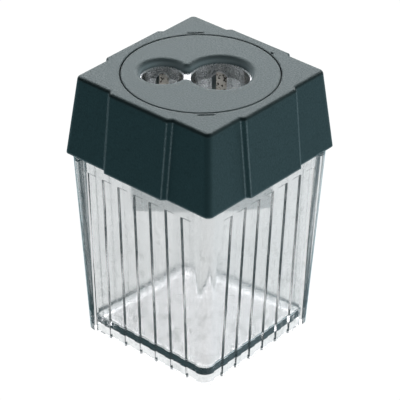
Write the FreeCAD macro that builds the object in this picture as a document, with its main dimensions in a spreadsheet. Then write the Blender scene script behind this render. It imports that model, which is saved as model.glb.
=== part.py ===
import FreeCAD, Part
import math
import os
import Sketcher

# Double-hole pencil sharpener on a square shavings container.
# Millimetres, +Z up, origin at the middle of the container's underside.
# The two pencil holes set the block, the block sets the round insert,
# the insert sets the cap, and the cap sets the container.

doc = FreeCAD.newDocument("PencilSharpener")

# ---------------------------------------------------------------- sizes
sizes = doc.addObject("Spreadsheet::Sheet", "sizes")

DRIVING = [
    ("standard_radius", 4.15, "pencil hole, standard"),
    ("jumbo_radius", 5.9, "pencil hole, jumbo"),
    ("web_width", 1.5, "metal between the holes, along the block"),
    ("standard_end_wall", 1.3, "metal outside the standard hole"),
    ("jumbo_end_wall", 3.1, "metal outside the jumbo hole"),
    ("jumbo_back_wall", 1.4, "metal behind the jumbo hole"),
    ("jumbo_front_wall", 1.25, "collar in front of the jumbo hole"),
    ("jumbo_set", 0.15, "jumbo axis in front of the cap's middle plane"),
    ("standard_set", 1.2, "standard axis in front of the same plane"),
    ("standard_window", 1.4, "top of the standard hole's window below the block's top"),
    ("jumbo_window", 1.9, "top of the jumbo hole's window below the block's top"),
    ("blade_inset", 0.265, "blade inside each cone's wall"),
    ("edge_lead", 0.45, "cutting edge past the middle of its hole"),
    ("standard_chip_rise", 0.1, "metal on the chip side above the standard blade's seat"),
    ("jumbo_chip_rise", 0.1, "metal on the chip side above the jumbo blade's seat"),
    ("seat_clearance", 0.12, "blade seats longer and wider than the blades"),
    ("hidden_wall", 0.25, "least metal from a blade seat or screw to a hole or the block's end"),
    ("mouth_chamfer", 0.15, "break at both hole mouths"),
    ("cone_angle", 14.2, "half angle of the sharpened point, degrees"),
    ("standard_tip_radius", 0.5, "bottom of the standard cone"),
    ("jumbo_tip_radius", 0.6, "bottom of the jumbo cone"),
    ("block_length", 25.5, "metal block, top to bottom"),
    ("collar_height", 1.2, "full-depth collar at the block's top"),
    ("grip_pitch", 1.7, "spacing of the block's side grooves"),
    ("grip_depth", 0.6, "depth of the block's side grooves"),
    ("grip_count", 12, "side grooves on each end"),
    ("grip_start", 3.6, "first side groove below the block's top"),
    ("blade_width", 7.4, "blade across"),
    ("blade_thickness", 0.6, "blade"),
    ("blade_end_gap", 0.4, "blade short of the collar and block bottom"),
    ("bevel_width", 1.3, "ground bevel on the cutting edge"),
    ("edge_land", 0.12, "thickness left at the cutting edge"),
    ("screw_inset", 5.1, "screw axis from the cutting edge"),
    ("screw_drop", 1.5, "screw below the blade's middle"),
    ("screw_radius", 1.2, "screw shank"),
    ("screw_depth", 4.0, "shank below the blade seat"),
    ("head_radius", 2.2, "screw head"),
    ("head_height", 1.0, "screw head"),
    ("head_break", 0.3, "edge break on the screw head"),
    ("driver_slot_width", 0.6, "slot in the screw head"),
    ("driver_slot_depth", 0.55, "slot in the screw head"),
    ("thread_clearance", 0.05, "tapped hole over the shank"),
    ("blade_clearance", 0.15, "blade hole over the shank"),
    ("insert_thickness", 1.4, "round insert over the block"),
    ("recess_clearance", 0.3, "insert opening over the pencil holes"),
    ("recess_neck_radius", 1.6, "rounding where the two openings meet"),
    ("recess_fillet", 1.35, "dished edge of the recess"),
    ("insert_edge", 0.16, "rim break of the insert"),
    ("seam_gap", 0.22, "insert to cap, all round"),
    ("socket_depth", 9.0, "walls that grip the block"),
    ("socket_wall", 1.1, "walls that grip the block"),
    ("drop_clearance", 0.4, "block corners inside the seat ring"),
    ("seat_width", 1.0, "ring the insert rests on"),
    ("seat_thickness", 1.4, "ring the insert rests on"),
    ("seat_outer_margin", 0.9, "ring beyond the opening"),
    ("rim_width", 1.45, "cap rim outside the opening at mid side"),
    ("cap_height", 17.5, "cap, edge to top"),
    ("cap_taper", 1.79, "how much wider the cap's edge is, per side"),
    ("cap_corner_radius", 1.3, "vertical corners of the cap"),
    ("cap_top_fillet", 0.8, "top edge of the cap"),
    ("cap_wall", 1.3, "side walls of the cap"),
    ("cap_plate", 1.6, "top plate of the cap"),
    ("panel_proud", 0.85, "raised panel on each side"),
    ("panel_face_width", 15.3, "raised panel at its face"),
    ("slot_width", 3.4, "relief slot, along the rim"),
    ("slot_gap", 0.4, "relief slot, across"),
    ("slot_bridge", 0.4, "strip between the opening and the slot"),
    ("bead_reach", 0.32, "snap bead into the insert"),
    ("bead_width", 2.2, "snap bead along the rim"),
    ("bead_height", 0.5, "snap bead"),
    ("bead_clearance", 0.07, "insert notch round the bead"),
    ("gate_radius", 0.32, "gate nick in the rim"),
    ("gate_depth", 0.4, "gate nick in the rim"),
    ("gate_angle", 71.7, "where the gate nick is, degrees from +X"),
    ("guide_rib_width", 1.2, "ribs inside the cap"),
    ("guide_rib_spread", 10.0, "distance between a side's two ribs"),
    ("guide_rib_clearance", 0.2, "ribs to the container's neck"),
    ("guide_rib_setback", 1.2, "ribs above the cap's edge"),
    ("tub_height", 42.8, "container up to its shoulder"),
    ("tub_taper", 2.17, "how much wider the shoulder is, per side"),
    ("tub_corner_radius", 2.0, "vertical corners of the container"),
    ("lip_overhang", 0.72, "cap edge beyond the container"),
    ("neck_height", 7.7, "neck above the shoulder"),
    ("neck_wall", 1.1, "neck"),
    ("neck_gap", 1.14, "neck inside the cap's edge"),
    ("neck_corner_radius", 1.7, "vertical corners of the neck"),
    ("cavity_draft", 0.65, "cavity narrower at the floor, per side"),
    ("floor_level", 2.0, "underside of the floor"),
    ("floor_thickness", 1.5, "floor"),
    ("floor_fillet", 0.8, "inside edge of the floor"),
    ("skirt_wall", 1.25, "skirt under the floor"),
    ("flute_pitch", 4.24, "flutes across each side"),
    ("flute_count", 7, "flutes on each side"),
    ("flute_width", 2.84, "flute at the wall"),
    ("flute_floor", 2.04, "flute at its floor"),
    ("flute_depth", 0.33, "flute"),
    ("flute_top_gap", 3.1, "plain band above the flutes"),
]

for row, (alias, value, note) in enumerate(DRIVING, start=1):
    sizes.set("A%d" % row, note)
    sizes.set("B%d" % row, str(value))
    sizes.setAlias("B%d" % row, alias)
doc.recompute()

# Sizes that follow from the driving ones, each worked out once.
fits = doc.addObject("App::VarSet", "fits")

DERIVED = [
    ("tilt", "tan(sizes.cone_angle * 1 deg)"),
    ("tilt_cos", "cos(sizes.cone_angle * 1 deg)"),
    ("tilt_sin", "sin(sizes.cone_angle * 1 deg)"),
    ("standard_guide", "sizes.standard_window + sizes.blade_inset / fits.tilt"),
    ("jumbo_guide", "sizes.jumbo_window + sizes.blade_inset / fits.tilt"),
    ("standard_seat", "sizes.standard_set + sizes.standard_radius"
                      " + fits.tilt * sizes.standard_window"),
    ("jumbo_seat", "sizes.jumbo_set + sizes.jumbo_radius + fits.tilt * sizes.jumbo_window"),
    ("jumbo_offset", "fits.standard_seat - fits.tilt * fits.jumbo_guide - sizes.jumbo_set"),
    ("jumbo_flank", "sqrt(max(0; sizes.jumbo_radius ^ 2 - fits.jumbo_offset ^ 2))"),
    ("seat_end", "sizes.blade_width - sizes.edge_lead + sizes.seat_clearance + sizes.hidden_wall"),
    ("hole_spacing", "max(sizes.standard_radius + sizes.web_width + sizes.jumbo_radius;"
                     " fits.seat_end + fits.jumbo_flank)"),
    ("jumbo_side", "max(sizes.jumbo_radius + sizes.jumbo_end_wall; fits.seat_end)"),
    ("block_half", "(sizes.standard_end_wall + sizes.standard_radius + fits.hole_spacing"
                   " + fits.jumbo_side) / 2"),
    ("standard_u", "sizes.standard_end_wall + sizes.standard_radius - fits.block_half"),
    ("jumbo_u", "fits.standard_u + fits.hole_spacing"),
    ("standard_edge", "fits.standard_u - sizes.edge_lead"),
    ("jumbo_edge", "fits.jumbo_u - sizes.edge_lead"),
    ("block_back", "sizes.jumbo_set - sizes.jumbo_radius - sizes.jumbo_back_wall"),
    ("block_front", "sizes.jumbo_set + sizes.jumbo_radius + sizes.jumbo_front_wall"),
    ("corner_reach", "sqrt(fits.block_half ^ 2 + max(fits.block_front; -fits.block_back) ^ 2)"),
    ("seat_radius", "fits.corner_reach + sizes.drop_clearance"),
    ("opening_radius", "fits.seat_radius + sizes.seat_width"),
    ("insert_radius", "fits.opening_radius - sizes.seam_gap"),
    ("cap_top_half", "fits.opening_radius + sizes.rim_width"),
    ("cap_edge_half", "fits.cap_top_half + sizes.cap_taper"),
    ("cap_top", "sizes.tub_height + sizes.cap_height"),
    ("cap_slope", "sizes.cap_taper / sizes.cap_height"),
    ("cap_inner_half", "fits.cap_edge_half - sizes.cap_wall"),
    ("cap_cavity_height", "sizes.cap_height - sizes.cap_plate"),
    ("seat_level", "fits.cap_top - sizes.insert_thickness"),
    ("facet_start", "fits.jumbo_seat + sizes.jumbo_chip_rise / fits.tilt_cos"),
    ("jumbo_seat_depth", "(fits.facet_start - fits.jumbo_seat) * fits.tilt_cos"),
    ("standard_seat_depth", "(fits.facet_start - fits.standard_seat) * fits.tilt_cos"),
    ("block_bottom", "fits.seat_level - sizes.block_length"),
    ("blade_top_depth", "sizes.collar_height + sizes.blade_end_gap"),
    ("blade_low_depth", "sizes.block_length - sizes.blade_end_gap"),
    ("blade_low_z", "fits.seat_level - fits.blade_low_depth"),
    ("blade_length", "(fits.blade_low_depth - fits.blade_top_depth) / fits.tilt_cos"),
    ("screw_room", "sizes.screw_inset - sizes.edge_lead - sizes.screw_radius"
                   " - sizes.thread_clearance - sizes.hidden_wall"),
    ("screw_least", "fits.jumbo_guide + (sizes.jumbo_radius - fits.screw_room) / fits.tilt"
                    " + sizes.screw_depth * fits.tilt_sin"),
    ("screw_level", "max((fits.blade_low_depth + fits.blade_top_depth) / 2 + sizes.screw_drop;"
                    " fits.screw_least)"),
    ("head_top", "sizes.blade_thickness + sizes.head_height"),
    ("tub_top_half", "fits.cap_edge_half - sizes.lip_overhang"),
    ("tub_base_half", "fits.tub_top_half - sizes.tub_taper"),
    ("tub_slope", "sizes.tub_taper / sizes.tub_height"),
    ("neck_half", "fits.cap_inner_half - sizes.neck_gap"),
    ("neck_top", "sizes.tub_height + sizes.neck_height"),
    ("floor_top", "sizes.floor_level + sizes.floor_thickness"),
    ("cavity_half", "fits.neck_half - sizes.neck_wall"),
    ("cavity_depth", "fits.neck_top - fits.floor_top"),
    ("flute_top", "sizes.tub_height - sizes.flute_top_gap"),
]

for name, formula in DERIVED:
    fits.addProperty("App::PropertyFloat", name, "Fits")
    fits.setExpression(name, formula)
    doc.recompute()

fits.addProperty("App::PropertyAngle", "cap_draft", "Fits")
fits.setExpression("cap_draft", "atan(fits.cap_slope)")
fits.addProperty("App::PropertyAngle", "tub_draft", "Fits")
fits.setExpression("tub_draft", "atan(fits.tub_slope)")
fits.addProperty("App::PropertyAngle", "cavity_angle", "Fits")
fits.setExpression("cavity_angle", "atan(sizes.cavity_draft / fits.cavity_depth)")
doc.recompute()

# The block stands corner to corner in the square cap: its own frame is
# turned an eighth of a turn, u along the block and v towards its blades.
CORNERWISE = FreeCAD.Placement(FreeCAD.Vector(), FreeCAD.Rotation(FreeCAD.Vector(0, 0, 1), 45))
X_AXIS = FreeCAD.Vector(1, 0, 0)
Z_AXIS = FreeCAD.Vector(0, 0, 1)
TOLERANCE = 1e-4


# -------------------------------------------------------------- helpers
def number(formula):
    """The present value of a formula over the two tables."""
    return float(fits.evalExpression(formula))


def origin_part(body, role):
    """A body's own origin plane or axis."""
    for feature in body.Origin.OriginFeatures:
        if feature.Role == role:
            return feature
    raise ValueError(role)


def new_body(name, placement=None):
    body = doc.addObject("PartDesign::Body", name)
    body.Label = name
    if placement is not None:
        body.Placement = placement
    return body


def new_sketch(body, name, role, base=("0", "0", "0"), axis=None, angle=None):
    """A sketch on an origin plane, moved and turned within that plane's frame."""
    sketch = body.newObject("Sketcher::SketchObject", name)
    sketch.AttachmentSupport = [(origin_part(body, role), "")]
    sketch.MapMode = "FlatFace"
    shift = FreeCAD.Vector(*[number(item) for item in base])
    turn = FreeCAD.Rotation()
    if axis is not None:
        turn = FreeCAD.Rotation(axis, number(angle))
    sketch.AttachmentOffset = FreeCAD.Placement(shift, turn)
    for letter, item in zip("xyz", base):
        if item != "0":
            sketch.setExpression("AttachmentOffset.Base." + letter, item)
    if axis is not None:
        sketch.setExpression("AttachmentOffset.Rotation.Angle", angle)
    return sketch


def pin_point(sketch, geometry, point, across, up):
    """Hold one sketch point at two bound coordinates."""
    for kind, item, line in (("DistanceX", across, -2), ("DistanceY", up, -1)):
        if item == "0":
            sketch.addConstraint(Sketcher.Constraint("PointOnObject", geometry, point, line))
            continue
        index = sketch.addConstraint(
            Sketcher.Constraint(kind, -1, 1, geometry, point, number(item)))
        sketch.setExpression("Constraints[%d]" % index, item)


def add_polygon(sketch, corners):
    """A closed outline whose corners are bound one by one."""
    points = [FreeCAD.Vector(number(a), number(b), 0) for a, b in corners]
    count = len(points)
    lines = [sketch.addGeometry(Part.LineSegment(points[i], points[(i + 1) % count]), False)
             for i in range(count)]
    for i in range(count):
        sketch.addConstraint(
            Sketcher.Constraint("Coincident", lines[i - 1], 2, lines[i], 1))
    for i in range(count):
        pin_point(sketch, lines[i], 1, corners[i][0], corners[i][1])


def add_box_outline(sketch, left, right, low, high):
    add_polygon(sketch, [(left, low), (right, low), (right, high), (left, high)])


def add_square(sketch, half):
    minus = "-(%s)" % half
    add_box_outline(sketch, minus, half, minus, half)


def add_circle(sketch, across, up, radius):
    centre = FreeCAD.Vector(number(across), number(up), 0)
    circle = sketch.addGeometry(Part.Circle(centre, Z_AXIS, number(radius)), False)
    pin_point(sketch, circle, 3, across, up)
    index = sketch.addConstraint(Sketcher.Constraint("Radius", circle, number(radius)))
    sketch.setExpression("Constraints[%d]" % index, radius)


def add_pad(body, sketch, length, upward=True, taper=None, lean=None):
    """Pad a sketch; lean is the sideways travel per unit of height."""
    pad = body.newObject("PartDesign::Pad", sketch.Name + "_pad")
    pad.Profile = sketch
    pad.Length = number(length)
    pad.setExpression("Length", length)
    pad.Reversed = not upward
    if taper is not None:
        pad.setExpression("TaperAngle", taper)
    if lean is not None:
        lean_along(pad, lean)
    sketch.Visibility = False
    doc.recompute()
    return pad


def add_pocket(body, sketch, length, upward=False, taper=None, lean=None, both=False):
    """Pocket a sketch and make sure that it took metal away."""
    before = body.Shape.Volume
    pocket = body.newObject("PartDesign::Pocket", sketch.Name + "_cut")
    pocket.Profile = sketch
    pocket.Length = number(length)
    pocket.setExpression("Length", length)
    pocket.Reversed = upward
    pocket.Midplane = both
    if taper is not None:
        pocket.setExpression("TaperAngle", taper)
    if lean is not None:
        lean_along(pocket, lean)
    sketch.Visibility = False
    doc.recompute()
    if body.Shape.Volume >= before - TOLERANCE:
        raise ValueError(pocket.Name + " removed nothing")
    return pocket


def lean_along(feature, lean):
    feature.UseCustomVector = True
    feature.Direction = FreeCAD.Vector(0, number(lean), 1)
    feature.setExpression("Direction.y", lean)
    feature.AlongSketchNormal = True


def add_turning(body, sketch, axis, cut=False):
    """A full turn of a half profile about one of its sketch's own axes."""
    kind = "PartDesign::Groove" if cut else "PartDesign::Revolution"
    before = body.Shape.Volume if cut else 0
    turning = body.newObject(kind, sketch.Name + "_turn")
    turning.Profile = sketch
    turning.ReferenceAxis = (sketch, [axis])
    turning.Angle = 360
    sketch.Visibility = False
    doc.recompute()
    if cut and body.Shape.Volume >= before - TOLERANCE:
        raise ValueError(turning.Name + " removed nothing")
    return turning


def four_sides(body, feature, name):
    """Repeat a feature of the near side on the other three."""
    pattern = body.newObject("PartDesign::PolarPattern", name)
    pattern.Originals = [feature]
    pattern.Axis = (origin_part(body, "Z_Axis"), [""])
    pattern.Angle = 360
    pattern.Occurrences = 4
    body.Tip = pattern
    doc.recompute()
    return pattern


def edges_where(shape, wanted):
    """Names of the edges whose end points all pass a test."""
    return ["Edge%d" % (i + 1) for i, edge in enumerate(shape.Edges)
            if all(wanted(vertex.Point) for vertex in edge.Vertexes)]


def upright_edges(shape, low, high, least=0.0, most=1e9):
    """Edges that run from one level to another, within a band about Z."""
    names = []
    for i, edge in enumerate(shape.Edges):
        if len(edge.Vertexes) != 2:
            continue
        ends = sorted(vertex.Point.z for vertex in edge.Vertexes)
        reach = max(max(abs(vertex.Point.x), abs(vertex.Point.y)) for vertex in edge.Vertexes)
        close = abs(ends[0] - low) < TOLERANCE and abs(ends[1] - high) < TOLERANCE
        if close and least <= reach <= most:
            names.append("Edge%d" % (i + 1))
    return names


def add_fillet(body, base, names, radius, name):
    fillet = body.newObject("PartDesign::Fillet", name)
    fillet.Base = (base, names)
    fillet.Radius = number(radius)
    fillet.setExpression("Radius", radius)
    doc.recompute()
    return fillet


# ------------------------------------------------------ shavings container
def build_container():
    body = new_body("shavings_container")

    wall = new_sketch(body, "tub_outline", "XY_Plane")
    add_square(wall, "fits.tub_base_half")
    tub = add_pad(body, wall, "sizes.tub_height", taper="fits.tub_draft")
    corners = upright_edges(tub.Shape, 0, number("sizes.tub_height"))
    add_fillet(body, tub, corners, "sizes.tub_corner_radius", "tub_corners")

    # One flute of the side that faces -Y leans with the wall.
    flute = new_sketch(body, "flute", "XY_Plane")
    middle = "-(sizes.flute_count - 1) / 2 * sizes.flute_pitch"
    side_run = "(sizes.flute_width - sizes.flute_floor) / 2"
    floor = "sizes.flute_depth - fits.tub_base_half"
    outside = "-sizes.flute_depth - fits.tub_base_half"
    add_polygon(flute, [
        ("%s - sizes.flute_width / 2 - %s" % (middle, side_run), outside),
        ("%s + sizes.flute_width / 2 + %s" % (middle, side_run), outside),
        ("%s + sizes.flute_floor / 2" % middle, floor),
        ("%s - sizes.flute_floor / 2" % middle, floor)])
    cut = add_pocket(body, flute, "fits.flute_top", lean="-fits.tub_slope")

    flutes = body.newObject("PartDesign::MultiTransform", "flutes")
    flutes.Originals = [cut]
    across = doc.addObject("PartDesign::LinearPattern", "flutes_across")
    across.Direction = (origin_part(body, "X_Axis"), [""])
    across.setExpression("Length", "(sizes.flute_count - 1) * sizes.flute_pitch")
    across.setExpression("Occurrences", "sizes.flute_count")
    around = doc.addObject("PartDesign::PolarPattern", "flutes_around")
    around.Axis = (origin_part(body, "Z_Axis"), [""])
    around.Angle = 360
    around.Occurrences = 4
    body.addObject(across)
    body.addObject(around)
    flutes.Transformations = [across, around]
    body.Tip = flutes
    doc.recompute()

    collar = new_sketch(body, "neck_outline", "XY_Plane", ("0", "0", "sizes.tub_height"))
    add_square(collar, "fits.neck_half")
    neck = add_pad(body, collar, "sizes.neck_height")
    corners = upright_edges(neck.Shape, number("sizes.tub_height"), number("fits.neck_top"))
    neck = add_fillet(body, neck, corners, "sizes.neck_corner_radius", "neck_corners")

    hollow = new_sketch(body, "cavity_outline", "XY_Plane", ("0", "0", "fits.neck_top"))
    add_square(hollow, "fits.cavity_half")
    cavity = add_pocket(body, hollow, "fits.cavity_depth", taper="-fits.cavity_angle")
    corners = upright_edges(cavity.Shape, number("fits.floor_top"), number("fits.neck_top"))
    cavity = add_fillet(body, cavity, corners, "sizes.neck_corner_radius", "cavity_corners")
    level = number("fits.floor_top")
    ring = edges_where(cavity.Shape, lambda point: abs(point.z - level) < TOLERANCE)
    add_fillet(body, cavity, ring, "sizes.floor_fillet", "floor_edge")

    under = new_sketch(body, "underside_outline", "XY_Plane")
    add_square(under, "fits.tub_base_half - sizes.skirt_wall")
    recess = add_pocket(body, under, "sizes.floor_level", upward=True)
    inside = number("fits.tub_base_half - sizes.skirt_wall") + TOLERANCE
    corners = upright_edges(recess.Shape, 0, number("sizes.floor_level"), most=inside)
    add_fillet(body, recess, corners, "sizes.neck_corner_radius", "underside_corners")
    return body


# --------------------------------------------------------------- cap shell
def build_cap():
    body = new_body("cap_shell")
    level = ("0", "0", "sizes.tub_height")

    wall = new_sketch(body, "cap_outline", "XY_Plane", level)
    add_square(wall, "fits.cap_edge_half")
    block = add_pad(body, wall, "sizes.cap_height", taper="-fits.cap_draft")
    corners = upright_edges(block.Shape, number("sizes.tub_height"), number("fits.cap_top"))
    add_fillet(body, block, corners, "sizes.cap_corner_radius", "cap_corners")

    # The raised panel has sides at 45 degrees and leans with the wall.
    panel = new_sketch(body, "panel_outline", "XY_Plane", level)
    face = "sizes.panel_face_width / 2"
    root = "(%s + sizes.panel_proud + sizes.cap_wall / 2)" % face
    front = "-fits.cap_edge_half - sizes.panel_proud"
    back = "-fits.cap_edge_half + sizes.cap_wall / 2"
    add_polygon(panel, [("-" + face, front), (face, front), (root, back), ("-" + root, back)])
    raised = add_pad(body, panel, "sizes.cap_height", lean="fits.cap_slope")
    sides = four_sides(body, raised, "panels")

    top = number("fits.cap_top")
    rim = edges_where(sides.Shape, lambda point: abs(point.z - top) < TOLERANCE)
    add_fillet(body, sides, rim, "sizes.cap_top_fillet", "cap_top_edge")

    hollow = new_sketch(body, "cap_cavity", "XY_Plane", level)
    add_square(hollow, "fits.cap_inner_half")
    add_pocket(body, hollow, "fits.cap_cavity_height", upward=True, taper="-fits.cap_draft")

    # Ring under the opening: the insert drops in from above and rests on it.
    ring = new_sketch(body, "seat_ring", "XY_Plane",
                      ("0", "0", "fits.seat_level - sizes.seat_thickness"))
    add_circle(ring, "0", "0", "fits.opening_radius + sizes.seat_outer_margin")
    add_pad(body, ring, "sizes.seat_thickness")
    opening = new_sketch(body, "opening", "XY_Plane", ("0", "0", "fits.cap_top"))
    add_circle(opening, "0", "0", "fits.opening_radius")
    add_pocket(body, opening, "sizes.insert_thickness")
    through = new_sketch(body, "seat_bore", "XY_Plane", ("0", "0", "fits.seat_level"))
    add_circle(through, "0", "0", "fits.seat_radius")
    add_pocket(body, through, "sizes.seat_thickness * 2")

    # Relief slots at the near and far corners leave a thin springy strip.
    slots = new_sketch(body, "relief_slots", "XY_Plane", ("0", "0", "fits.cap_top"),
                       Z_AXIS, "45")
    inner = "(fits.opening_radius + sizes.slot_bridge)"
    outer = "(%s + sizes.slot_gap)" % inner
    half = "sizes.slot_width / 2"
    add_box_outline(slots, "-" + half, half, inner, outer)
    add_box_outline(slots, "-" + half, half, "-" + outer, "-" + inner)
    add_pocket(body, slots, "sizes.insert_thickness + sizes.seat_thickness + sizes.cap_plate")

    # A snap bead on each strip holds the insert down.
    beads = new_sketch(body, "snap_beads", "XY_Plane",
                       ("0", "0", "fits.cap_top - (sizes.insert_thickness + sizes.bead_height) / 2"),
                       Z_AXIS, "45")
    tip = "(fits.opening_radius - sizes.bead_reach)"
    root = "(fits.opening_radius + sizes.slot_bridge / 2)"
    half = "sizes.bead_width / 2"
    add_box_outline(beads, "-" + half, half, tip, root)
    add_box_outline(beads, "-" + half, half, "-" + root, "-" + tip)
    add_pad(body, beads, "sizes.bead_height")

    gate = new_sketch(body, "gate_nick", "XY_Plane", ("0", "0", "fits.cap_top"),
                      Z_AXIS, "sizes.gate_angle")
    add_circle(gate, "fits.opening_radius + sizes.gate_radius * 1.5", "0", "sizes.gate_radius")
    add_pocket(body, gate, "sizes.gate_depth")

    # Two ribs inside each side locate the cap on the container's neck.
    ribs = new_sketch(body, "guide_ribs", "XY_Plane",
                      ("0", "0", "sizes.tub_height + sizes.guide_rib_setback"))
    near = "(sizes.guide_rib_spread - sizes.guide_rib_width) / 2"
    far = "(sizes.guide_rib_spread + sizes.guide_rib_width) / 2"
    face = "-fits.neck_half - sizes.guide_rib_clearance"
    root = "-fits.cap_inner_half - sizes.cap_wall / 5"
    add_box_outline(ribs, near, far, root, face)
    add_box_outline(ribs, "-" + far, "-" + near, root, face)
    rib = add_pad(body, ribs, "sizes.neck_height")
    four_sides(body, rib, "ribs")
    return body


# ------------------------------------------------------- sharpener carrier
def add_recess_outline(sketch):
    """Two round openings joined by a rounded neck."""
    radii = [number("sizes.standard_radius + sizes.recess_clearance"),
             number("sizes.jumbo_radius + sizes.recess_clearance")]
    neck = number("sizes.recess_neck_radius")
    centres = [FreeCAD.Vector(number("fits.standard_u"), number("sizes.standard_set"), 0),
               FreeCAD.Vector(number("fits.jumbo_u"), number("sizes.jumbo_set"), 0)]
    run = centres[1] - centres[0]
    reach = [radii[0] + neck, radii[1] + neck]
    along = (run.Length ** 2 + reach[0] ** 2 - reach[1] ** 2) / (2 * run.Length)
    rise = math.sqrt(reach[0] ** 2 - along ** 2)
    ahead = FreeCAD.Vector(run).normalize()
    aside = FreeCAD.Vector(-ahead.y, ahead.x, 0)
    upper = centres[0] + ahead * along + aside * rise
    lower = centres[0] + ahead * along - aside * rise

    def heading(start, end):
        return math.atan2(end.y - start.y, end.x - start.x)

    def arc(centre, radius, start, end):
        while end < start:
            end += 2 * math.pi
        circle = Part.Circle(centre, Z_AXIS, radius)
        return sketch.addGeometry(Part.ArcOfCircle(circle, start, end), False)

    small = arc(centres[0], radii[0], heading(centres[0], upper), heading(centres[0], lower))
    large = arc(centres[1], radii[1], heading(centres[1], lower), heading(centres[1], upper))
    above = arc(upper, neck, heading(upper, centres[0]), heading(upper, centres[1]))
    below = arc(lower, neck, heading(lower, centres[1]), heading(lower, centres[0]))
    for first, first_end, second, second_end in (
            (small, 1, above, 1), (large, 2, above, 2), (large, 1, below, 1), (small, 2, below, 2)):
        sketch.addConstraint(
            Sketcher.Constraint("Tangent", first, first_end, second, second_end))
    pin_point(sketch, small, 3, "fits.standard_u", "sizes.standard_set")
    pin_point(sketch, large, 3, "fits.jumbo_u", "sizes.jumbo_set")
    for geometry, formula in (
            (small, "sizes.standard_radius + sizes.recess_clearance"),
            (large, "sizes.jumbo_radius + sizes.recess_clearance"),
            (above, "sizes.recess_neck_radius"),
            (below, "sizes.recess_neck_radius")):
        index = sketch.addConstraint(Sketcher.Constraint("Radius", geometry, number(formula)))
        sketch.setExpression("Constraints[%d]" % index, formula)


def build_carrier():
    body = new_body("sharpener_carrier", CORNERWISE)

    disc = new_sketch(body, "insert_disc", "XY_Plane", ("0", "0", "fits.seat_level"))
    add_circle(disc, "0", "0", "fits.insert_radius")
    flange = add_pad(body, disc, "sizes.insert_thickness")
    top = number("fits.cap_top")
    rim = edges_where(flange.Shape, lambda point: abs(point.z - top) < TOLERANCE)
    add_fillet(body, flange, rim, "sizes.insert_edge", "insert_rim")

    # Four walls grip the block; their ends stay inside the seat ring's bore.
    grip = new_sketch(body, "socket_walls", "XY_Plane", ("0", "0", "fits.seat_level"))
    wall = "sizes.socket_wall"
    free = "(fits.seat_radius - sizes.drop_clearance / 2)"
    long_front = "(sqrt(%s ^ 2 - (fits.block_front + %s) ^ 2))" % (free, wall)
    long_back = "(sqrt(%s ^ 2 - (%s - fits.block_back) ^ 2))" % (free, wall)
    short_end = "(sqrt(%s ^ 2 - (fits.block_half + %s) ^ 2))" % (free, wall)
    add_box_outline(grip, "-" + long_front, long_front,
                    "fits.block_front", "fits.block_front + " + wall)
    add_box_outline(grip, "-" + long_back, long_back,
                    "fits.block_back - " + wall, "fits.block_back")
    add_box_outline(grip, "fits.block_half", "fits.block_half + " + wall,
                    "-" + short_end, short_end)
    add_box_outline(grip, "-fits.block_half - " + wall, "-fits.block_half",
                    "-" + short_end, short_end)
    add_pad(body, grip, "sizes.socket_depth", upward=False)

    recess = new_sketch(body, "recess", "XY_Plane", ("0", "0", "fits.cap_top"))
    add_recess_outline(recess)
    cut = add_pocket(body, recess, "sizes.insert_thickness")
    keep = number("fits.insert_radius - sizes.seam_gap - sizes.insert_edge")
    mouth = edges_where(cut.Shape, lambda point: abs(point.z - top) < TOLERANCE
                        and math.hypot(point.x, point.y) < keep)
    add_fillet(body, cut, mouth, "sizes.recess_fillet", "recess_dish")

    notches = new_sketch(body, "bead_notches", "XY_Plane",
                         ("0", "0", "fits.cap_top - (sizes.insert_thickness + sizes.bead_height) / 2"
                                    " - sizes.bead_clearance"))
    inner = "(fits.opening_radius - sizes.bead_reach - sizes.bead_clearance)"
    outer = "(fits.opening_radius + sizes.seam_gap)"
    half = "(sizes.bead_width / 2 + sizes.bead_clearance)"
    add_box_outline(notches, "-" + half, half, inner, outer)
    add_box_outline(notches, "-" + half, half, "-" + outer, "-" + inner)
    add_pocket(body, notches, "sizes.bead_height + 2 * sizes.bead_clearance", upward=True)
    return body


# ---------------------------------------------------------- sharpener body
def add_pencil_hole(body, name, across, depth_set, radius, guide, tip_radius):
    """A mouth chamfer, a straight guide, a cone and a chip hole at its tip."""
    half = new_sketch(body, name, "XZ_Plane", (across, "0", "-" + depth_set))
    tip_depth = "(%s + (%s - %s) / fits.tilt)" % (guide, radius, tip_radius)
    top = "fits.seat_level"
    add_polygon(half, [
        ("0", top),
        ("%s + sizes.mouth_chamfer" % radius, top),
        (radius, "%s - sizes.mouth_chamfer" % top),
        (radius, "%s - %s" % (top, guide)),
        (tip_radius, "%s - %s" % (top, tip_depth)),
        (tip_radius, "fits.block_bottom - 1"),
        ("0", "fits.block_bottom - 1")])
    add_turning(body, half, "V_Axis", cut=True)


def seat_base(seat, across="0", rise="0"):
    """Offset from the XZ plane to a blade seat at the screw's level, raised square to it."""
    return (across,
            "fits.seat_level - fits.screw_level - fits.tilt_sin * (%s)" % rise,
            "fits.tilt * fits.screw_level - %s - fits.tilt_cos * (%s)" % (seat, rise))


# Ends of the blade seats, measured up the slope from the screw's level.
SEAT_TOP = "(fits.screw_level - fits.blade_top_depth) / fits.tilt_cos + sizes.seat_clearance"
SEAT_LOW = "-sizes.block_length"


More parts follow.
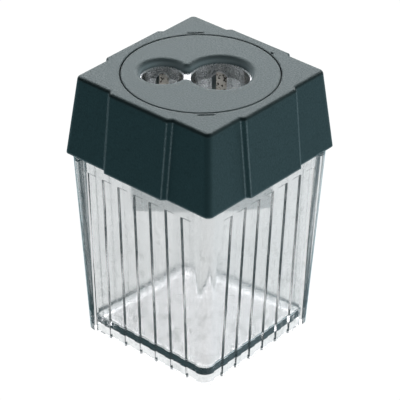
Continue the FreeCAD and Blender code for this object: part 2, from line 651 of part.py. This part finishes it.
def build_block():
    body = new_body("sharpener_body", CORNERWISE)

    side = new_sketch(body, "wedge", "YZ_Plane")
    shoulder = "fits.seat_level - sizes.collar_height"
    add_polygon(side, [
        ("fits.block_back", "fits.seat_level"),
        ("fits.block_front", "fits.seat_level"),
        ("fits.block_front", shoulder),
        ("fits.facet_start - fits.tilt * sizes.collar_height", shoulder),
        ("fits.facet_start - fits.tilt * sizes.block_length", "fits.block_bottom"),
        ("fits.block_back", "fits.block_bottom")])
    pad = add_pad(body, side, "2 * fits.block_half")
    pad.Midplane = True
    doc.recompute()

    add_pencil_hole(body, "standard_hole", "fits.standard_u", "sizes.standard_set",
                    "sizes.standard_radius", "fits.standard_guide", "sizes.standard_tip_radius")
    add_pencil_hole(body, "jumbo_hole", "fits.jumbo_u", "sizes.jumbo_set",
                    "sizes.jumbo_radius", "fits.jumbo_guide", "sizes.jumbo_tip_radius")

    # Each blade lies in a shallow seat; the metal on its chip side stands higher.
    # The standard hole's side of the slope is lower than the jumbo hole's.
    lower = new_sketch(body, "standard_chip_side", "XZ_Plane", seat_base("fits.facet_start"),
                       -X_AXIS, "sizes.cone_angle")
    add_box_outline(lower, "-fits.block_half - 1", "fits.standard_edge", SEAT_LOW, SEAT_TOP)
    add_pocket(body, lower, "fits.standard_seat_depth - sizes.standard_chip_rise", upward=True)
    for name, across, seat, depth in (
            ("standard_seat", "fits.standard_edge", "fits.standard_seat", "fits.standard_seat_depth"),
            ("jumbo_seat", "fits.jumbo_edge", "fits.jumbo_seat", "fits.jumbo_seat_depth")):
        outline = new_sketch(body, name, "XZ_Plane", seat_base("fits.facet_start"),
                             -X_AXIS, "sizes.cone_angle")
        add_box_outline(outline, across, across + " + sizes.blade_width + sizes.seat_clearance",
                        SEAT_LOW, SEAT_TOP)
        add_pocket(body, outline, depth, upward=True)
        tap = new_sketch(body, name + "_tap", "XZ_Plane", seat_base(seat),
                         -X_AXIS, "sizes.cone_angle")
        add_circle(tap, across + " + sizes.screw_inset", "0",
                   "sizes.screw_radius + sizes.thread_clearance")
        add_pocket(body, tap, "sizes.screw_depth + sizes.thread_clearance", upward=True)

    # Grip grooves across both ends.
    groove = new_sketch(body, "grip_groove", "XZ_Plane")
    level = "fits.seat_level - sizes.grip_start"
    add_polygon(groove, [
        ("fits.block_half + sizes.grip_depth / 2", "%s + sizes.grip_depth * 0.9" % level),
        ("fits.block_half - sizes.grip_depth", level),
        ("fits.block_half + sizes.grip_depth / 2", "%s - sizes.grip_depth * 0.9" % level)])
    first = add_pocket(body, groove, "4 * fits.block_front", both=True)
    grips = body.newObject("PartDesign::MultiTransform", "grips")
    grips.Originals = [first]
    down = doc.addObject("PartDesign::LinearPattern", "grips_down")
    down.Direction = (origin_part(body, "Z_Axis"), [""])
    down.Reversed = True
    down.setExpression("Length", "(sizes.grip_count - 1) * sizes.grip_pitch")
    down.setExpression("Occurrences", "sizes.grip_count")
    other = doc.addObject("PartDesign::Mirrored", "grips_other_end")
    other.MirrorPlane = (origin_part(body, "YZ_Plane"), [""])
    body.addObject(down)
    body.addObject(other)
    grips.Transformations = [down, other]
    body.Tip = grips
    doc.recompute()
    return body


# ----------------------------------------------------------------- blades
def build_blade(name, across, seat):
    """A flat blade, ground on the outer side of its cutting edge."""
    body = new_body(name, CORNERWISE)
    section = new_sketch(body, name + "_section", "XY_Plane",
                         (across, seat + " - fits.tilt * fits.blade_low_depth", "fits.blade_low_z"),
                         -X_AXIS, "sizes.cone_angle")
    add_polygon(section, [
        ("0", "0"),
        ("sizes.blade_width", "0"),
        ("sizes.blade_width", "sizes.blade_thickness"),
        ("sizes.bevel_width", "sizes.blade_thickness"),
        ("0", "sizes.edge_land")])
    add_pad(body, section, "fits.blade_length")
    hole = new_sketch(body, name + "_hole", "XZ_Plane", seat_base(seat, across),
                      -X_AXIS, "sizes.cone_angle")
    add_circle(hole, "sizes.screw_inset", "0", "sizes.screw_radius + sizes.blade_clearance")
    add_pocket(body, hole, "4 * sizes.blade_thickness", both=True)
    return body


def build_screw(name, across, seat):
    """A slotted pan-head screw square to the blade seat."""
    body = new_body(name, CORNERWISE)
    half = new_sketch(body, name + "_profile", "YZ_Plane",
                      (seat + " - fits.tilt * fits.screw_level",
                       "fits.seat_level - fits.screw_level", across + " + sizes.screw_inset"),
                      -Z_AXIS, "sizes.cone_angle")
    add_polygon(half, [
        ("-sizes.screw_depth", "0"),
        ("-sizes.screw_depth", "sizes.screw_radius - sizes.head_break"),
        ("sizes.head_break - sizes.screw_depth", "sizes.screw_radius"),
        ("sizes.blade_thickness", "sizes.screw_radius"),
        ("sizes.blade_thickness", "sizes.head_radius"),
        ("fits.head_top - sizes.head_break", "sizes.head_radius"),
        ("fits.head_top", "sizes.head_radius - sizes.head_break"),
        ("fits.head_top", "0")])
    add_turning(body, half, "H_Axis")
    slot = new_sketch(body, name + "_slot", "XZ_Plane",
                      seat_base(seat, across + " + sizes.screw_inset", "fits.head_top"),
                      -X_AXIS, "sizes.cone_angle")
    half_width = "sizes.driver_slot_width / 2"
    add_box_outline(slot, "-" + half_width, half_width,
                    "-sizes.head_radius - 1", "sizes.head_radius + 1")
    add_pocket(body, slot, "sizes.driver_slot_depth", upward=True)
    return body


container = build_container()
cap = build_cap()
carrier = build_carrier()
block = build_block()
standard_blade = build_blade("standard_blade", "fits.standard_edge", "fits.standard_seat")
jumbo_blade = build_blade("jumbo_blade", "fits.jumbo_edge", "fits.jumbo_seat")
screws = doc.addObject("Part::Compound", "blade_screws")
screws.Label = "blade_screws"
screws.Links = [build_screw("standard_screw", "fits.standard_edge", "fits.standard_seat"),
                build_screw("jumbo_screw", "fits.jumbo_edge", "fits.jumbo_seat")]
doc.recompute()

# ----------------------------------------------------------------- output
NODES = [container, cap, carrier, block, standard_blade, jumbo_blade, screws]

for item in doc.Objects:
    if "Invalid" in item.State or "Error" in item.State:
        raise ValueError("%s did not build: %s" % (item.Name, item.State))
for node in NODES:
    if node.Shape.isNull() or not node.Shape.isValid():
        raise ValueError(node.Label + " has no valid shape")

os.makedirs("parts", exist_ok=True)
for node in NODES:
    node.Shape.exportStep(os.path.join("parts", node.Label + ".step"))
    box = node.Shape.BoundBox
    print("%-20s solids %d volume %9.2f  z %.2f to %.2f  x %.2f to %.2f" % (
        node.Label, len(node.Shape.Solids), node.Shape.Volume, box.ZMin, box.ZMax, box.XMin, box.XMax))
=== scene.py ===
import math

import bpy
from mathutils import Matrix, Vector

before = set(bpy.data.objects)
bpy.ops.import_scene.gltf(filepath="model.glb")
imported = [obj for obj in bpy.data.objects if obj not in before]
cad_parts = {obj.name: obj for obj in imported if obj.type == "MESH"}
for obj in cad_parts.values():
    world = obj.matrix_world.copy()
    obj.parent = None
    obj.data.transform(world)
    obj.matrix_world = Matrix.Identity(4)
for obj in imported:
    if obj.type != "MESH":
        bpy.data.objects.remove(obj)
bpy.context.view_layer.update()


# ------------------------------------------------------------------ studio
# A product shot on white, with a long lens that looks down on one corner. A
# sheet of light behind is mirrored in the top faces, a weak fill stands on the
# right, and the room in front stays dark, so the upright sides stay black.
camera_place = Vector((0.32164, -0.36818, 0.33159))
camera_aim = Vector((0.0, 0.00018, 0.03037))
camera_roll = math.radians(0.547)
lens_mm = 251.3
sensor_mm = 36.0
nearest_seen = 0.05

camera_data = bpy.data.cameras.new("camera")
camera_data.lens = lens_mm
camera_data.sensor_width = sensor_mm
camera_data.clip_start = nearest_seen
camera = bpy.data.objects.new("camera", camera_data)
look = (camera_aim - camera_place).to_track_quat("-Z", "Y").to_matrix().to_4x4()
roll = Matrix.Rotation(camera_roll, 4, "Z")
camera.matrix_world = Matrix.Translation(camera_place) @ look @ roll
bpy.context.scene.collection.objects.link(camera)
bpy.context.scene.camera = camera
bpy.context.scene.view_settings.view_transform = "Standard"


def linear(hex_colour):
    """An sRGB hex colour as linear red, green, blue and alpha."""
    channels = [int(hex_colour[i:i + 2], 16) / 255 for i in (1, 3, 5)]
    return [c / 12.92 if c <= 0.04045 else ((c + 0.055) / 1.055) ** 2.4
            for c in channels] + [1.0]


def node(tree, kind, settings=None, links=None):
    """Adds a node with its settings and what feeds its sockets.

    A number picks a socket by its place.
    """
    made = tree.nodes.new(kind)
    for name, value in (settings or {}).items():
        if isinstance(name, int) or name in made.inputs:
            made.inputs[name].default_value = value
        else:
            setattr(made, name, value)
    for name, source in (links or {}).items():
        tree.links.new(source, made.inputs[name])
    return made


# Where a Mix node that blends colours keeps its factor, its two colours and
# the blend.
share, colour_a, colour_b, blend = 0, 6, 7, 2


def new_material(name):
    """A material with an empty node tree, and that tree."""
    material = bpy.data.materials.new(name)
    material.use_nodes = True
    material.node_tree.nodes.clear()
    return material, material.node_tree


def area_light(name, place, aim, size, power, colour):
    """Stands a rectangular sheet of light at a place, facing a point."""
    data = bpy.data.lights.new(name, "AREA")
    data.shape = "RECTANGLE"
    data.size, data.size_y = size
    data.energy = power
    data.color = linear(colour)[:3]
    lamp = bpy.data.objects.new(name, data)
    turn = (Vector(aim) - Vector(place)).to_track_quat("-Z", "Y").to_matrix().to_4x4()
    lamp.matrix_world = Matrix.Translation(place) @ turn
    bpy.context.scene.collection.objects.link(lamp)


# The paper lies on a light table: an even white around the object that falls
# to pale grey further out. The object's own shade lies under its footprint,
# in a square that fades at its edge.
floor_reach = 3.0
table_bright = 0.16
table_dim = 0.6
near_glow = 1.03
far_glow = 0.45
shade_half = 0.0137
shade_fade = 0.001
shade_place = (-0.0028, 0.0032, 0.0)
shade_grey = "#CACACA"
paper_white = "#FFFFFF"

paper, tree = new_material("backlit_white_paper")
place = node(tree, "ShaderNodeTexCoord").outputs["Object"]
away = node(tree, "ShaderNodeVectorMath", {"operation": "LENGTH"}, {0: place})
glow = node(tree, "ShaderNodeMapRange", {
    "interpolation_type": "SMOOTHSTEP", "From Min": table_bright, "From Max": table_dim,
    "To Min": near_glow, "To Max": far_glow}, {"Value": away.outputs["Value"]})
shifted = node(tree, "ShaderNodeVectorMath", {"operation": "SUBTRACT", 1: shade_place},
               {0: place})
folded = node(tree, "ShaderNodeVectorMath", {"operation": "ABSOLUTE"},
              {0: shifted.outputs[0]})
spread = node(tree, "ShaderNodeSeparateXYZ", links={0: folded.outputs[0]})
square = node(tree, "ShaderNodeMath", {"operation": "MAXIMUM"},
              {0: spread.outputs["X"], 1: spread.outputs["Y"]})
clear_of = node(tree, "ShaderNodeMapRange",
                {"From Min": shade_half, "From Max": shade_half + shade_fade},
                {"Value": square.outputs[0]})
tone = node(tree, "ShaderNodeMix", {
    "data_type": "RGBA", colour_a: linear(shade_grey), colour_b: linear(paper_white)},
    {share: clear_of.outputs[0]})
sheet = node(tree, "ShaderNodeEmission",
             links={"Color": tone.outputs[blend], "Strength": glow.outputs[0]})
node(tree, "ShaderNodeOutputMaterial", links={"Surface": sheet.outputs[0]})

floor_mesh = bpy.data.meshes.new("floor")
corners = [(-1, -1), (1, -1), (1, 1), (-1, 1)]
floor_mesh.from_pydata([(x * floor_reach, y * floor_reach, 0) for x, y in corners],
                       [], [(0, 1, 2, 3)])
floor_mesh.materials.append(paper)
floor = bpy.data.objects.new("floor", floor_mesh)
floor.visible_glossy = False
bpy.context.scene.collection.objects.link(floor)

# The room is a pale wall behind the object that falls away to dark overhead
# and in front. From below comes a cool bounce, paler toward the right.
pale_wall = (-0.60, 0.68, 0.42)
right_hand = (0.66, 0.75, 0.0)
straight_up = (0.0, 0.0, 1.0)
wall_tint = "#E4F0F3"
wall_dark, wall_pale = 0.1, 0.75
bounce_cool, bounce_pale = "#90BBC5", "#BFE3EF"
bounce_strength = 1.2

world = bpy.data.worlds.new("studio")
world.use_nodes = True
world.node_tree.nodes.clear()
tree = world.node_tree
heading = node(tree, "ShaderNodeTexCoord").outputs["Generated"]


def toward(direction, start, end, low, high):
    """Rises from low to high as the heading turns toward a direction.

    The rise runs between two cosines, start and end.
    """
    facing = node(tree, "ShaderNodeVectorMath", {"operation": "DOT_PRODUCT", 1: direction},
                  {0: heading})
    return node(tree, "ShaderNodeMapRange", {
        "interpolation_type": "SMOOTHSTEP", "From Min": start, "From Max": end,
        "To Min": low, "To Max": high}, {"Value": facing.outputs["Value"]}).outputs[0]


room = node(tree, "ShaderNodeBackground", {"Color": linear(wall_tint)},
            {"Strength": toward(pale_wall, 0.2, 0.95, wall_dark, wall_pale)})
bounce_tint = node(tree, "ShaderNodeMix", {
    "data_type": "RGBA", colour_a: linear(bounce_cool), colour_b: linear(bounce_pale)},
    {share: toward(right_hand, -0.8, 0.8, 0.0, 1.0)})
bounce = node(tree, "ShaderNodeBackground", {"Strength": bounce_strength},
              {"Color": bounce_tint.outputs[blend]})
# The bounce ends a little below the horizon, so that no level view meets it.
above = toward(straight_up, -0.22, -0.04, 0.0, 1.0)
air = node(tree, "ShaderNodeMixShader",
           links={0: above, 1: bounce.outputs[0], 2: room.outputs[0]})
node(tree, "ShaderNodeOutputWorld", links={"Surface": air.outputs[0]})
bpy.context.scene.world = world

object_middle = (0.0, 0.0, 0.05)
area_light("back_sheet", place=(-0.36, 0.41, 0.36), aim=object_middle,
           size=(0.7, 0.4), power=3.7, colour="#FFFAFD")
area_light("right_fill", place=(0.60, 0.20, 0.16), aim=object_middle,
           size=(0.3, 0.3), power=1.0, colour="#E6F3F6")


# ------------------------------------------------------ shavings container
# The square fluted tub that catches the shavings, one injection moulding of
# clear crystal polystyrene. Its neck pushes up inside the cap, which grips it.
def give(name, material):
    """Puts a material on a CAD node."""
    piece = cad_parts[name]
    piece.data.materials.clear()
    piece.data.materials.append(material)


# Real scuffs and flow lines are finer; these are coarse enough to show.
scuff_pitch_mm = 1.1
haze_least, haze_most = 0.06, 0.2
flow_pitch_mm = 0.55
flow_squeeze = 0.05
flow_height = 0.00002
flow_grey, flow_clear = "#F0F0F0", "#FFFFFF"
smudge_pitch_mm = 2.6
smudge_most = 0.32
smudge_grey = "#8E908D"
smudge_low, smudge_top = 0.004, 0.022
smudge_extra = 0.07
body_grey = "#5A6466"
body_tint = 42.0

# Polystyrene is bright and glassy. Shavings and handling give it a little
# haze and fine scuffs, and faint flow lines run up the walls, drawn out
# along Z.
polystyrene, tree = new_material("clear_crystal_polystyrene")
place = node(tree, "ShaderNodeTexCoord").outputs["Object"]
drawn = node(tree, "ShaderNodeMapping", {"Scale": (1.0, 1.0, flow_squeeze)}, {"Vector": place})
flow = node(tree, "ShaderNodeTexNoise", {"Scale": 1000 / flow_pitch_mm, "Detail": 3.0},
            {"Vector": drawn.outputs[0]})
scuffs = node(tree, "ShaderNodeTexNoise", {"Scale": 1000 / scuff_pitch_mm, "Detail": 4.0},
              {"Vector": place})
haze = node(tree, "ShaderNodeMapRange", {
    "From Min": 0.4, "From Max": 0.75, "To Min": haze_least, "To Max": haze_most},
    {"Value": scuffs.outputs["Fac"]})
streak = node(tree, "ShaderNodeMix", {
    "data_type": "RGBA", colour_a: linear(flow_grey), colour_b: linear(flow_clear)},
    {share: flow.outputs["Fac"]})
# Graphite smudges from the shavings, thickest near the floor.
smears = node(tree, "ShaderNodeTexNoise", {
    "Scale": 1000 / smudge_pitch_mm, "Detail": 5.0, "Roughness": 0.65}, {"Vector": place})
height = node(tree, "ShaderNodeSeparateXYZ", links={0: place}).outputs["Z"]
low_down = node(tree, "ShaderNodeMapRange", {
    "From Min": smudge_low, "From Max": smudge_top, "To Min": smudge_extra, "To Max": 0.0},
    {"Value": height})
thick = node(tree, "ShaderNodeMath", {"operation": "ADD"},
             {0: smears.outputs["Fac"], 1: low_down.outputs[0]})
smudge = node(tree, "ShaderNodeMapRange", {
    "From Min": 0.58, "From Max": 0.7, "To Min": 0.0, "To Max": smudge_most},
    {"Value": thick.outputs[0]})
dusty = node(tree, "ShaderNodeMix", {"data_type": "RGBA", colour_b: linear(smudge_grey)},
             {share: smudge.outputs[0], colour_a: streak.outputs[blend]})
ripple = node(tree, "ShaderNodeBump", {"Strength": 0.35, "Distance": flow_height},
              {"Height": flow.outputs["Fac"]})
clear = node(tree, "ShaderNodeBsdfPrincipled", {"IOR": 1.59, "Transmission Weight": 1.0}, {
    "Base Color": dusty.outputs[blend], "Roughness": haze.outputs[0],
    "Normal": ripple.outputs[0]})
# A trace of body tint greys the long paths through corners and edges.
tinted = node(tree, "ShaderNodeVolumeAbsorption",
              {"Color": linear(body_grey), "Density": body_tint})
node(tree, "ShaderNodeOutputMaterial",
     links={"Surface": clear.outputs[0], "Volume": tinted.outputs[0]})
give("shavings_container", polystyrene)

# --------------------------------------------------------------------- cap
# The square black cap with a proud panel on each side, one moulding of ABS.
# It pushes down over the container's neck and holds the insert in its top.
# A real spark-eroded grain is finer; this one is coarse enough to show.
grain_pitch_mm = 0.3
grain_height = 0.00004
mottle_pitch_mm = 3.5
abs_dark, abs_light = "#040C0E", "#081518"
abs_gloss, abs_dull = 0.38, 0.62
abs_sheen = "#D6FFFF"
edge_break = 0.0006
# Painted highlight colour for the upright edges and corners.
painted_edge_highlight = "#7C8C91"
# Painted light: the lighter grey painted into the insert's dished recess.
painted_dish_light = "#98A3A6"
dish_light_fade = 0.0006


def grained_abs(name, painted_light_below=None):
    """Black ABS from a spark-eroded mould, painted light grey below a height if one is given.

    The mould leaves an even fine grain, so highlights are soft and broad, with
    a cool sheen. The upright edges get a painted highlight, a lighter grey
    mixed into the base colour.
    """
    material, tree = new_material(name)
    place = node(tree, "ShaderNodeTexCoord").outputs["Object"]
    grain = node(tree, "ShaderNodeTexNoise", {"Scale": 1000 / grain_pitch_mm, "Detail": 2.0},
                 {"Vector": place})
    mottle = node(tree, "ShaderNodeTexNoise", {"Scale": 1000 / mottle_pitch_mm, "Detail": 3.0},
                  {"Vector": place})
    colour = node(tree, "ShaderNodeMix", {
        "data_type": "RGBA", colour_a: linear(abs_dark), colour_b: linear(abs_light)},
        {share: mottle.outputs["Fac"]})
    # Painted light: below the given height the recess is painted a lighter grey.
    if painted_light_below is not None:
        height = node(tree, "ShaderNodeSeparateXYZ", links={0: place}).outputs["Z"]
        dish_light_mask = node(tree, "ShaderNodeMapRange",
                      {"From Min": painted_light_below, "From Max": painted_light_below - dish_light_fade},
                      {"Value": height})
        colour = node(tree, "ShaderNodeMix", {"data_type": "RGBA", colour_b: linear(painted_dish_light)},
                      {share: dish_light_mask.outputs[0], colour_a: colour.outputs[blend]})
    gloss = node(tree, "ShaderNodeMapRange", {
        "From Min": 0.3, "From Max": 0.7, "To Min": abs_gloss, "To Max": abs_dull},
        {"Value": grain.outputs["Fac"]})
    # Where the rounded and the true normal part, there is an edge.
    edge = node(tree, "ShaderNodeBevel", {"samples": 4, "Radius": edge_break})
    true_normal = node(tree, "ShaderNodeNewGeometry").outputs["Normal"]
    bend = node(tree, "ShaderNodeVectorMath", {"operation": "DOT_PRODUCT"},
                {0: edge.outputs[0], 1: true_normal})
    edge_highlight_mask = node(tree, "ShaderNodeMapRange", {"From Min": 0.995, "From Max": 0.93},
                     {"Value": bend.outputs["Value"]})
    # The painted highlight keeps to the upright edges and stops where a face turns up.
    facing_up = node(tree, "ShaderNodeSeparateXYZ", links={0: true_normal}).outputs["Z"]
    upright = node(tree, "ShaderNodeMapRange", {"From Min": 0.42, "From Max": 0.25},
                   {"Value": facing_up})
    speckle = node(tree, "ShaderNodeMapRange", {
        "From Min": 0.35, "From Max": 0.65, "To Min": 0.35, "To Max": 1.0},
        {"Value": grain.outputs["Fac"]})
    upright_highlight_mask = node(tree, "ShaderNodeMath", {"operation": "MULTIPLY"},
                        {0: edge_highlight_mask.outputs[0], 1: upright.outputs[0]})
    painted_highlight_mask = node(tree, "ShaderNodeMath", {"operation": "MULTIPLY"},
                  {0: upright_highlight_mask.outputs[0], 1: speckle.outputs[0]})
    # Painted highlight: the upright edges are mixed toward a light grey, speckled by the grain.
    colour_and_highlight = node(tree, "ShaderNodeMix", {"data_type": "RGBA", colour_b: linear(painted_edge_highlight)},
                  {share: painted_highlight_mask.outputs[0], colour_a: colour.outputs[blend]})
    pits = node(tree, "ShaderNodeBump", {"Strength": 1.0, "Distance": grain_height},
                {"Height": grain.outputs["Fac"], "Normal": edge.outputs[0]})
    moulded = node(tree, "ShaderNodeBsdfPrincipled",
                   {"IOR": 1.54, "Specular Tint": linear(abs_sheen)}, {
                       "Base Color": colour_and_highlight.outputs[blend], "Roughness": gloss.outputs[0],
                       "Normal": pits.outputs[0]})
    node(tree, "ShaderNodeOutputMaterial", links={"Surface": moulded.outputs[0]})
    return material


give("cap_shell", grained_abs("spark_eroded_black_abs"))

# ------------------------------------------------------------------ insert
# The round black insert that fills the cap's opening, moulded in the same ABS
# and snapped in. Its dished recess is painted a lighter grey from the rim down:
# painted light that stands in for the light the dish catches.
dish_rim = 0.06022

give("sharpener_carrier", grained_abs("black_abs_painted_dish_light", painted_light_below=dish_rim))

# ------------------------------------------------------------------- block
# The two-hole block that hangs in the insert and holds both blades. It is
# die-cast in magnesium and left as cast, but for the bores, which are reamed.
# Real flow marks and reamer rings are finer; these are coarse enough to show.
cast_pitch_mm = 0.35
cast_height = 0.00004
cast_dull, cast_bright = "#B4B7B8", "#F0F1F1"
skin_gloss, skin_dull = 0.16, 0.42
ring_pitch_mm = 0.18
ring_height = 0.00004
ring_squeeze = 0.03
rim_break = 0.00025
painted_rim_highlight = "#FFFFFF"
rim_metallic = 0.35

# As-cast magnesium is satin, with fine flow marks and a skin that varies from
# dull to bright.
magnesium, tree = new_material("die_cast_magnesium")
place = node(tree, "ShaderNodeTexCoord").outputs["Object"]
cast = node(tree, "ShaderNodeTexNoise", {"Scale": 1000 / cast_pitch_mm, "Detail": 5.0},
            {"Vector": place})
skin = node(tree, "ShaderNodeMix", {
    "data_type": "RGBA", colour_a: linear(cast_dull), colour_b: linear(cast_bright)},
    {share: cast.outputs["Fac"]})
dull = node(tree, "ShaderNodeMapRange", {"To Min": skin_gloss, "To Max": skin_dull},
            {"Value": cast.outputs["Fac"]})
# The reamer leaves level rings down the bores.
level = node(tree, "ShaderNodeMapping", {"Scale": (ring_squeeze, ring_squeeze, 1.0)},
             {"Vector": place})
rings = node(tree, "ShaderNodeTexNoise", {"Scale": 1000 / ring_pitch_mm, "Detail": 2.0},
             {"Vector": level.outputs[0]})
turned = node(tree, "ShaderNodeBump", {"Strength": 0.5, "Distance": ring_height},
              {"Height": rings.outputs["Fac"]})
dimple = node(tree, "ShaderNodeBump", {"Strength": 0.4, "Distance": cast_height},
              {"Height": cast.outputs["Fac"], "Normal": turned.outputs[0]})
# The rims get a painted highlight. Metal there would mirror the dark room
# and turn black, so the rims are drawn partly as a plain bright white.
soft = node(tree, "ShaderNodeBevel", {"samples": 6, "Radius": rim_break})
true_normal = node(tree, "ShaderNodeNewGeometry").outputs["Normal"]
bend = node(tree, "ShaderNodeVectorMath", {"operation": "DOT_PRODUCT"},
            {0: soft.outputs[0], 1: true_normal})
rim = node(tree, "ShaderNodeMapRange", {"From Min": 0.99, "From Max": 0.94},
           {"Value": bend.outputs["Value"]})
# Painted highlight: the rims are mixed toward plain white and made less metallic.
rim_highlight_colour = node(tree, "ShaderNodeMix", {"data_type": "RGBA", colour_b: linear(painted_rim_highlight)},
            {share: rim.outputs[0], colour_a: skin.outputs[blend]})
body = node(tree, "ShaderNodeMapRange", {"To Min": 1.0, "To Max": rim_metallic},
            {"Value": rim.outputs[0]})
metal = node(tree, "ShaderNodeBsdfPrincipled", links={
    "Base Color": rim_highlight_colour.outputs[blend], "Metallic": body.outputs[0],
    "Roughness": dull.outputs[0], "Normal": dimple.outputs[0]})
node(tree, "ShaderNodeOutputMaterial", links={"Surface": metal.outputs[0]})
give("sharpener_body", magnesium)

# ------------------------------------------------------------------ blades
# The two blades, one to a hole: hardened steel strip, ground along its length
# and held against the block by a screw each.
# Real dust is finer; the specks are coarse enough to show. The lines are too
# fine to be seen one by one and only soften the shine.
grind_pitch_mm = 0.12
grind_height = 0.00001
grind_squeeze = 0.06
speck_pitch_mm = 0.5
ground_steel, pencil_dust = "#B5B1A8", "#4A4640"
clean_rough, dusty_rough = 0.35, 0.7

# Ground steel has fine bright lines. Graphite and wood dust sit on it as dark
# specks, which take the shine off it.
steel, tree = new_material("ground_blade_steel")
place = node(tree, "ShaderNodeTexCoord").outputs["Object"]
along = node(tree, "ShaderNodeMapping", {"Scale": (1.0, 1.0, grind_squeeze)}, {"Vector": place})
grind = node(tree, "ShaderNodeTexNoise", {"Scale": 1000 / grind_pitch_mm, "Detail": 2.0},
             {"Vector": along.outputs[0]})
dust = node(tree, "ShaderNodeTexNoise", {"Scale": 1000 / speck_pitch_mm, "Detail": 4.0},
            {"Vector": place})
specks = node(tree, "ShaderNodeMapRange", {"From Min": 0.54, "From Max": 0.62},
              {"Value": dust.outputs["Fac"]})
face = node(tree, "ShaderNodeMix", {
    "data_type": "RGBA", colour_a: linear(ground_steel), colour_b: linear(pencil_dust)},
    {share: specks.outputs[0]})
lines = node(tree, "ShaderNodeBump", {"Strength": 0.3, "Distance": grind_height},
             {"Height": grind.outputs["Fac"]})
rough = node(tree, "ShaderNodeMapRange", {"To Min": clean_rough, "To Max": dusty_rough},
             {"Value": specks.outputs[0]})
blade = node(tree, "ShaderNodeBsdfPrincipled", {"Metallic": 0.8}, {
    "Base Color": face.outputs[blend], "Roughness": rough.outputs[0],
    "Normal": lines.outputs[0]})
node(tree, "ShaderNodeOutputMaterial", links={"Surface": blade.outputs[0]})
give("standard_blade", steel)
give("jumbo_blade", steel)

# ------------------------------------------------------------------ screws
# Two slotted pan-head screws of steel, turned and then plated in bright zinc.
# Each holds one blade to the block.
# Real plating crystals can't be seen; these are coarse enough to vary the shine.
plating_pitch_mm = 0.25
zinc_dark, zinc_light = "#A9ADB2", "#C9CCCF"
zinc_gloss, zinc_dull = 0.18, 0.36

# The plating's fine crystals give it a clean but slightly uneven shine.
zinc, tree = new_material("zinc_plated_steel")
place = node(tree, "ShaderNodeTexCoord").outputs["Object"]
crystal = node(tree, "ShaderNodeTexNoise", {"Scale": 1000 / plating_pitch_mm, "Detail": 3.0},
               {"Vector": place})
shine = node(tree, "ShaderNodeMapRange", {"To Min": zinc_gloss, "To Max": zinc_dull},
             {"Value": crystal.outputs["Fac"]})
coat = node(tree, "ShaderNodeMix", {
    "data_type": "RGBA", colour_a: linear(zinc_dark), colour_b: linear(zinc_light)},
    {share: crystal.outputs["Fac"]})
plated = node(tree, "ShaderNodeBsdfPrincipled", {"Metallic": 1.0},
              {"Base Color": coat.outputs[blend], "Roughness": shine.outputs[0]})
node(tree, "ShaderNodeOutputMaterial", links={"Surface": plated.outputs[0]})
give("blade_screws", zinc)
